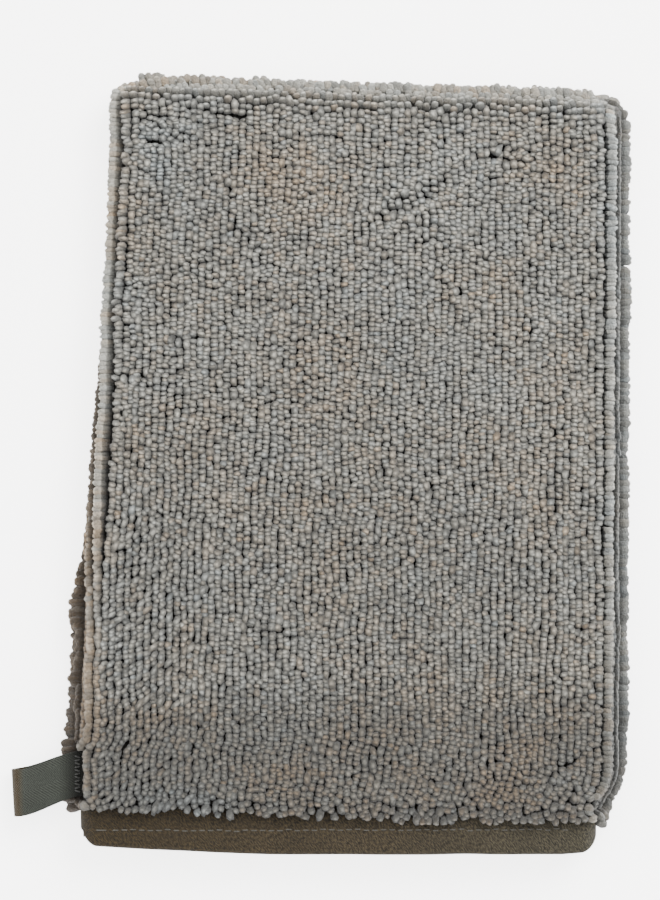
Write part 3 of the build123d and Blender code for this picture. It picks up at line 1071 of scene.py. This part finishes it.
def thread_material(name, dark, light):
    """Twisted sewing thread."""
    material, tree, shader = new_material(name, 0.7, 0.2)
    twist = noise_node(tree, 2200, 2.0, 0.7)
    shade = ramp_node(tree, twist, [(0.3, dark), (0.7, light)])
    tree.links.new(shade, shader.inputs["Base Color"])
    bump_node(tree, shader, twist, 0.08 * MM)
    return material


def floor_material():
    """Pale paper that glows a little, so that it also lights the mitt's sides."""
    material, tree, shader = new_material("pale_floor", 0.85)
    grain = noise_node(tree, 6, 3.0)
    shade = ramp_node(tree, grain, [(0.3, (0.935, 0.932, 0.925)), (0.7, (0.950, 0.948, 0.942))])
    tree.links.new(shade, shader.inputs["Base Color"])
    shader.inputs["Emission Color"].default_value = (1.0, 0.995, 0.985, 1)
    shader.inputs["Emission Strength"].default_value = FLOOR_GLOW
    return material


# ---------------------------------------------------------------- pieces

def finish_piece(thing, material):
    """Gives a piece its material."""
    thing.data.materials.clear()
    thing.data.materials.append(material)


def follow_front(thing):
    """The piece's world placement is baked into its points."""
    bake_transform(thing)


def make_ground(front, grid, material):
    """The ground cloth: one piece for the back, and two halves of the front that meet at x = 0."""
    rows, columns, fine = 150, 121, np.linspace(0, 1, 801)
    t = np.linspace(0, 1, rows)[:, None]
    if front:
        dense = sample(grid, *np.broadcast_arrays(fine[None], t))
        crossing = np.array([np.interp(0.0, line[:, 0], fine) for line in dense])[:, None]
        share = np.linspace(0, 1, columns // 2 + 1)[None]
        halves = {"left": crossing * share, "right": crossing + (1 - crossing) * share}
        faces = {"front_ground_" + side: sample(grid, *np.broadcast_arrays(s, t))
                 for side, s in halves.items()}
    else:
        s = np.linspace(0, 1, columns)[None]
        faces = {"back_ground_cloth": sample(grid, *np.broadcast_arrays(s, t))[:, ::-1]}
    pieces = [thick_cloth(name, face, GROUND_THICKNESS) for name, face in faces.items()]
    for piece in pieces:
        finish_piece(piece, material)
    return pieces


# Blocks of a panel's loops: name, and from where to where in y
LOOP_BLOCKS = [("mouth", -1.0, -0.045), ("middle", -0.045, 0.035), ("end", 0.035, 1.0)]


def make_loops(front, grid, material):
    """Terry loops in blocks: by side of the middle, and by distance from the mouth."""
    bodies, tone, hue, lift, base, kept = panel_loops(front, grid)
    keep = kept & tape_clearance(base) & loops_above_cuff(base)
    blocks = {}
    for left in (True, False):
        for name, low, high in LOOP_BLOCKS:
            chosen = keep & ((base[:, 0] < 0) == left) & (base[:, 1] >= low) & (base[:, 1] < high)
            title = ("front" if front else "back") + "_loops_" + ("left_" if left else "right_") + name
            thing = loops_object(title, bodies[chosen], tone[chosen], hue[chosen], lift[chosen])
            finish_piece(thing, material)
            blocks[(left, name)] = thing
    return blocks


def loops_above_cuff(base):
    """Loops end in an uneven line a little short of the cuff's edge."""
    x, y = base[:, 0], base[:, 1]
    share = (x - CUFF_LOW[0]) / (CUFF_HIGH[0] - CUFF_LOW[0])
    line = PILE_LOW[1] + 4.3 * MM - 3.0 * MM * np.clip(share, 0, 1)
    line += 0.6 * MM * line_noise(x, 9 * MM, 31) + 0.4 * MM * line_noise(x, 3 * MM, 32)
    return y > line


def tape_clearance(base):
    """Room in the loops for the hang loop's tape, at the side seam."""
    off_middle = np.abs(base[:, 1] - tape_middle_y(LOOP_HIGH[0]))
    beside = (base[:, 0] < LOOP_HIGH[0] + 6 * MM) & (off_middle < TAPE_WIDTH / 2 + 0.6 * MM)
    return ~(beside & (base[:, 2] > MIDDLE_Z - 1.5 * MM) & (base[:, 2] < MIDDLE_Z + 3.0 * MM))


def cuff_columns():
    """Places across the binding, closer together at its rounded ends."""
    ends = np.linspace(0, 0.075, 34)
    return np.concatenate([ends[:-1], np.linspace(0.075, 0.925, 130), 1 - ends[::-1][1:]])


def cuff_grid(front, rows=48):
    """Outer ply, fold and inner ply of a binding, as one grid from the outer edge to the inner."""
    outer_offset, inner_offset = CUFF_PLY, -GROUND_THICKNESS - 0.8 * CUFF_PLY
    fold_radius = (outer_offset - inner_offset) / 2
    s = cuff_columns()
    level = cuff_line(front, s, CUFF_LOW[1] + 6 * MM, outer_offset)[:, 0]
    from_end = np.minimum(level - CUFF_LOW[0], CUFF_HIGH[0] - level)
    short = np.clip(CUFF_CORNER - from_end, 0, CUFF_CORNER)
    rounding = CUFF_CORNER - np.sqrt(CUFF_CORNER ** 2 - short ** 2 * 0.985)
    share = (level - CUFF_LOW[0]) / (CUFF_HIGH[0] - CUFF_LOW[0])
    bow = 2.6 * MM * np.clip(0.42 - share, 0, 1) ** 1.5 / 0.42 ** 1.5
    bow += 0.9 * MM * np.clip((share - 0.93) / 0.07, 0, 1)
    wave = 0.15 * MM * line_noise(level, 12 * MM, 43)
    end_y = CUFF_LOW[1] + fold_radius + rounding + bow + wave
    start_y = CUFF_HIGH[1] + 1.0 * MM
    lines = []
    for step in np.linspace(0, 1, rows):
        if step < 0.42:
            y, offset = start_y + (end_y - start_y) * step / 0.42, outer_offset
        elif step <= 0.58:
            turn = (step - 0.42) / 0.16 * math.pi
            y = end_y - fold_radius * math.sin(turn)
            offset = inner_offset + fold_radius * (1 + math.cos(turn))
        else:
            y, offset = end_y + (start_y - end_y) * (step - 0.58) / 0.42, inner_offset
        lines.append(cuff_line(front, s, y, offset))
    return np.array(lines)


def cuff_line(front, s, y, offset):
    """Points across the mitt at height y, on the ground cloth's line grown by offset."""
    span = end_edge(s) - RIM - GROUND_END_Y
    t = (y - GROUND_END_Y) / span * (1 - RIM_SHARE)
    return pillow(front, s, t, offset=offset)


def cuff_wave(front, points):
    """Gentle rise and fall of the binding's cloth, less under the mitt's own weight."""
    wave = 0.25 * MM * value_noise(points[..., 0], points[..., 1], 14 * MM, 41 if front else 42)
    return wave * (1 if front else 0.4)


def make_cuff(front, material):
    """The binding: one piece for the back, and two halves of the front that meet at x = 0."""
    grid = cuff_grid(front)
    grid[..., 2] += cuff_wave(front, grid)
    middle = int(np.argmin(np.abs(grid[0, :, 0])))
    uv = cloth_uv(grid)
    if front:
        parts = [("left", slice(0, middle + 1)), ("right", slice(middle, None))]
        pieces = [thick_cloth("front_cuff_" + side, grid[:, part][:, ::-1], CUFF_THICKNESS,
                              uv[:, part][:, ::-1]) for side, part in parts]
    else:
        pieces = [thick_cloth("back_cuff", grid, CUFF_THICKNESS, uv)]
    for piece in pieces:
        finish_piece(piece, material)
    return pieces


STITCH_PITCH = 2.6 * MM
STITCH_LENGTH = 1.9 * MM
STITCH_RADIUS = 0.17 * MM


def cuff_stitches(front, material):
    """Lockstitches along the cuff, each a short thread that dips into the cloth at both ends."""
    y0 = corners("front_cuff_topstitch" if front else "back_cuff_topstitch")[0][1]
    start, stop = CUFF_LOW[0] + 6 * MM, CUFF_HIGH[0] - 6 * MM
    count = int((stop - start) / STITCH_PITCH)
    random = np.random.default_rng(51 if front else 52)
    paths = []
    for index in range(count):
        x = start + (index + 0.5) * STITCH_PITCH
        steps = np.linspace(-0.5, 0.5, 7)
        xs = x + steps * STITCH_LENGTH
        share = (xs - CUFF_LOW[0]) / (CUFF_HIGH[0] - CUFF_LOW[0])
        y = y0 + 0.12 * MM * random.normal() + 0.3 * MM * line_noise(xs, 30 * MM, 53)
        s = np.clip(share, 0.02, 0.98)
        line = cuff_line(front, s, y, CUFF_PLY)
        s = s + (xs - line[:, 0]) / (CUFF_HIGH[0] - CUFF_LOW[0])
        line = cuff_line(front, s, y, CUFF_PLY)
        arch = np.cos(steps * math.pi * 0.98)
        line[:, 2] += (1 if front else -1) * (0.26 * MM * arch - 0.12 * MM)
        line[:, 2] += cuff_wave(front, line)
        paths.append(line)
    paths = np.array(paths)
    on_left = paths[:, 3, 0] < 0
    if front:
        groups = [("front_topstitch_left", on_left), ("front_topstitch_right", ~on_left)]
    else:
        groups = [("back_topstitch", np.ones(len(paths), bool))]
    pieces = []
    for name, chosen in groups:
        piece = tubes(name, paths[chosen], STITCH_RADIUS)
        finish_piece(piece, material)
        pieces.append(piece)
    return pieces


# ---------------------------------------------------------------- hang loop

TAPE_THICKNESS = 0.95 * MM
TAPE_WIDTH = 13.5 * MM
TAPE_FOLD = 27.0                          # mm of tape from the seam to the fold
TAPE_COLUMNS = 23
TACK_COUNT = 11


def tape_section(rows=64):
    """The tape's line from the seam out along its upper ply, round the fold and back: (x, z)."""
    ring = (LOOP_HIGH[2] - LOOP_LOW[2] - TAPE_THICKNESS) / 2
    ring_x = LOOP_LOW[0] + 1.2 * MM + TAPE_THICKNESS / 2 + ring
    ring_z = (LOOP_HIGH[2] + LOOP_LOW[2]) / 2
    root_x, root_z = LOOP_HIGH[0] + 2.4 * MM, MIDDLE_Z + 1.7 * MM
    parting_x, half_gap = root_x - 4 * MM, 0.55 * MM
    upper = [(root_x, root_z + TAPE_THICKNESS / 2), (parting_x, root_z + half_gap)]
    for step in np.linspace(0.25, 1, 9):
        x = parting_x + (ring_x - parting_x) * step
        z = root_z + half_gap + (ring_z + ring - root_z - half_gap) * step
        upper.append((x, z + 0.3 * MM * math.sin(step * math.pi)))
    fold = [(ring_x - ring * math.sin(a), ring_z + ring * math.cos(a))
            for a in np.linspace(0, math.pi, 13)[1:-1]]
    lower = []
    for step in np.linspace(0, 1, 9)[:-1]:
        ease = step ** 1.15
        lower.append((ring_x + (root_x - 5 * MM - ring_x) * step,
                      ring_z - ring + (root_z - 0.6 * MM - ring_z + ring) * ease))
    lower += [(parting_x, root_z - half_gap), (root_x, root_z - TAPE_THICKNESS / 2)]
    return smooth_line(np.array(upper + fold + lower), rows)


def smooth_line(points, count):
    """Evenly spaced points on a smooth curve through a line's points, rounded a little."""
    for _ in range(3):
        inner = points[1:-1] * 0.5 + (points[:-2] + points[2:]) * 0.25
        points = np.concatenate([points[:1], inner, points[-1:]])
    distance = distance_along(points)
    places = np.linspace(0, distance[-1], count)
    return np.stack([np.interp(places, distance, points[:, i]) for i in range(points.shape[1])], -1)


def tape_middle_y(x):
    """The tape leaves the seam square, slopes towards the mouth and levels out at its fold."""
    root_x, tip_x = LOOP_HIGH[0] + 2 * MM, LOOP_LOW[0]
    share = np.clip((root_x - x) / (root_x - tip_x), 0, 1)
    high = (LOOP_LOW[1] + LOOP_HIGH[1]) / 2 + 3.6 * MM
    drop = 6.6 * MM
    return high - drop * (0.25 * share + 0.75 * smoothstep(share * 1.12))


def tape_share(x):
    """0 at the tape's root and 1 at its fold."""
    return np.clip((LOOP_HIGH[0] - x) / (LOOP_HIGH[0] - LOOP_LOW[0]), 0, 1)


def tape_face():
    """The tape's outer face as a grid, from the seam along its upper ply, round and back."""
    line = tape_section()
    across = np.linspace(-0.5, 0.5, TAPE_COLUMNS)[None]
    x = np.repeat(line[:, :1], TAPE_COLUMNS, axis=1)
    share = tape_share(x)
    y = tape_middle_y(x) - across * TAPE_WIDTH * (1 + 0.05 * share)
    z = line[:, 1:] + 0.25 * MM * np.sin(across * 5 + 1.0) * share
    skew = 0.9 * MM * across * share
    grid = np.stack([x + skew, y, z], -1)
    normals = grid_normals(grid)
    if normals[5, TAPE_COLUMNS // 2, 2] < 0:
        grid, normals = grid[:, ::-1], -normals[:, ::-1]
    return grid + normals * TAPE_THICKNESS / 2


def make_tack(face, material):
    """The bar of tack stitches across the tape's upper ply, at the seam."""
    upper = face[:len(face) // 3]
    tack_x = LOOP_HIGH[0] + 0.2 * MM
    row = int(np.argmin(np.abs(upper[:, TAPE_COLUMNS // 2, 0] - tack_x)))
    steps = np.linspace(-0.5, 0.5, 7)
    rise = 0.05 * MM + 0.22 * MM * np.cos(steps * math.pi)
    paths = []
    for index in range(TACK_COUNT):
        share = (index + 0.5) / TACK_COUNT * 0.84 + 0.08
        centre = sample(upper[row:row + 2], np.array([share]), np.array([0.0]))[0]
        slant = 0.45 * MM * (1 if index % 2 else -1)
        paths.append(centre + np.stack([steps * 1.6 * MM, steps * slant, rise], -1))
    tack = tubes("loop_tack_threads", np.array(paths), 0.2 * MM)
    finish_piece(tack, material)
    return tack


def make_tape(material, thread):
    """The folded tape, and the tack stitches that hold it."""
    face = tape_face()
    piece = thick_cloth("hang_loop_tape", face, TAPE_THICKNESS)
    finish_piece(piece, material)
    return piece, make_tack(face, thread)


# ---------------------------------------------------------------- seams inside the pocket

def seam_ends(which):
    """Where the middle line of a seam allowance starts and stops, from the CAD strip's box."""
    low, high = {"end": (TOP_LOW, TOP_HIGH), "left": (LEFT_LOW, LEFT_HIGH),
                 "right": (RIGHT_LOW, RIGHT_HIGH)}[which]
    half, middle_z = SEAM_WIDTH / 2, (low[2] + high[2]) / 2
    starts = {"end": (low[0], high[1] - half), "left": (low[0] + half, low[1]),
              "right": (high[0] - half - 0.3 * MM, low[1])}
    stops = {"end": (high[0], low[1] + half), "left": (high[0] - half, high[1]),
             "right": (high[0] - half - 0.3 * MM, high[1])}
    return np.array([*starts[which], middle_z]), np.array([*stops[which], middle_z])


def make_seam(which, material):
    """Overlocked edge: the trimmed cloth with a thread that loops round it at each stitch."""
    pitch = 2.4 * MM
    start, stop = seam_ends(which)
    length = np.linalg.norm(stop - start)
    turns = int(length / pitch)
    steps = np.linspace(0, 1, turns * 14 + 1)
    centre = start + (stop - start) * steps[:, None]
    along = unit(stop - start)
    inward = np.array([-along[1], along[0], 0])
    phase = steps * turns * 2 * math.pi
    wobble = 1 + 0.12 * line_noise(steps * turns, 1.3, 61)
    thread = (centre + inward * (np.cos(phase) * SEAM_WIDTH * 0.47 * wobble)[:, None]
              + np.array([0, 0, 1]) * (np.sin(phase) * 0.75 * MM * wobble)[:, None])
    loops = tubes(which + "_overlock_thread", thread[None], 0.28 * MM, 6)
    across = np.linspace(-0.42, 0.42, 9) * SEAM_WIDTH
    core = np.linspace(0, 1, 160)
    middle = start + (stop - start) * core[:, None]
    body = middle[:, None] + inward * across[None, :, None]
    body[..., 2] += 0.45 * MM + 0.12 * MM * line_noise(core * length / pitch * 2, 1.0, 62)[:, None]
    edge = thick_cloth(which + "_seam_allowance", body[:, ::-1], 0.9 * MM)
    return edge, loops


# ---------------------------------------------------------------- stage

WORLD_STRENGTH = 2.0
KEY_WATTS = 26.0
FILL_WATTS = 8.0
FLOOR_GLOW = 3.6
CAMERA_HEIGHT = 1.1
MITT_TOP = 0.012                          # height that the frame's size is measured at
FRAME_HEIGHT = 0.270                      # length of floor that the picture shows


def make_stage():
    """The floor and the pale light all round."""
    floor = make_mesh("floor", np.array([(-3, -3, 0), (3, -3, 0), (3, 3, 0), (-3, 3, 0)], float),
                      np.array([(0, 1, 2, 3)]))
    floor.location.z = -0.0002
    floor.data.materials.append(floor_material())
    world = bpy.data.worlds.new("studio")
    bpy.context.scene.world = world
    world.use_nodes = True
    background = world.node_tree.nodes["Background"]
    background.inputs["Color"].default_value = (0.97, 0.98, 1.0, 1)
    background.inputs["Strength"].default_value = WORLD_STRENGTH


def area_light(name, place, size, watts, colour):
    """A square soft box that points at the mitt."""
    data = bpy.data.lights.new(name, "AREA")
    data.energy = watts
    data.size = size
    data.color = colour
    lamp = bpy.data.objects.new(name, data)
    lamp.location = place
    aim = -lamp.location
    lamp.rotation_euler = aim.to_track_quat("-Z", "Y").to_euler()
    bpy.context.scene.collection.objects.link(lamp)


def make_lights():
    area_light("key", (0.50, 0.62, 0.80), 0.7, KEY_WATTS, (1.0, 0.99, 0.975))
    area_light("fill", (-0.9, -0.2, 1.1), 1.0, FILL_WATTS, (1.0, 0.955, 0.90))


def make_camera():
    """Straight above the mitt, as far back as a phone on a copy stand."""
    data = bpy.data.cameras.new("camera")
    camera = bpy.data.objects.new("camera", data)
    bpy.context.scene.collection.objects.link(camera)
    data.sensor_fit = "VERTICAL"
    data.sensor_height = 24.0
    data.sensor_width = 36.0
    data.lens = data.sensor_height * (CAMERA_HEIGHT - MITT_TOP) / FRAME_HEIGHT
    camera.location = (-0.0081, 0.0042, CAMERA_HEIGHT)
    data.clip_start, data.clip_end = 0.05, 20
    bpy.context.scene.camera = camera


# ---------------------------------------------------------------- assembly

def ride_back(piece, node):
    """The piece stays on the back panel's body and stands for a CAD node."""
    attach(piece, "back")
    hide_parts(node)


make_camera()
make_stage()
make_lights()

front_grid, back_grid = panel_grid(True), panel_grid(False)
front_grid, back_grid = relax_cloth(front_grid, back_grid)

terry = terry_material()
ground = ground_material()
cuff_twill = twill_material(
    "cuff_twill", (0.014, 0.0115, 0.0075), (0.074, 0.062, 0.041), 0.80, 0.0, 1.6, 55, 6.5, cuff_drift)
tape_twill = twill_material(
    "tape_twill", (0.010, 0.0102, 0.0090), (0.052, 0.0535, 0.047), 0.80, 4.2, 0.9, 40, 0.9, tape_drift)
pale_thread = thread_material("pale_thread", (0.022, 0.020, 0.014), (0.055, 0.050, 0.038))
# Painted shade: the dark thread is made near black, so that the tack at the shaded seam reads as
# shadow.
dark_thread = thread_material("dark_thread", (0.008, 0.008, 0.0065), (0.022, 0.022, 0.018))

front_ground = make_ground(True, front_grid, ground)
back_ground = make_ground(False, back_grid, ground)
front_loops = make_loops(True, front_grid, terry)
back_loops = make_loops(False, back_grid[:, ::-1], terry)
front_cuff = make_cuff(True, cuff_twill)
back_cuff = make_cuff(False, cuff_twill)
front_stitches = cuff_stitches(True, pale_thread)
back_stitches = cuff_stitches(False, pale_thread)
tape, tack = make_tape(tape_twill, dark_thread)

for index, left in enumerate((True, False)):
    follow_front(front_ground[index])
    follow_front(front_cuff[index])
    follow_front(front_stitches[index])
    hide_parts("front_ground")
    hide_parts("front_cuff_band")
    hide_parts("front_cuff_topstitch")
for (left, name), piece in front_loops.items():
    follow_front(piece)
    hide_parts("front_pile")
for piece in back_loops.values():
    ride_back(piece, "back_pile")
ride_back(back_ground[0], "back_ground")
ride_back(back_cuff[0], "back_cuff_band")
ride_back(back_stitches[0], "back_cuff_topstitch")
for piece, node in ((tape, "hang_loop"), (tack, "loop_tack_stitches")):
    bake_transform(piece)
    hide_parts(node)

seam_pieces = []
for which, node in (("left", "left_side_seam"), ("right", "right_side_seam"), ("end", "top_seam")):
    allowance, overlock = make_seam(which, dark_thread)
    finish_piece(allowance, ground)
    finish_piece(overlock, dark_thread)
    seam_pieces += [allowance, overlock]
    for piece in (allowance, overlock):
        ride_back(piece, node)
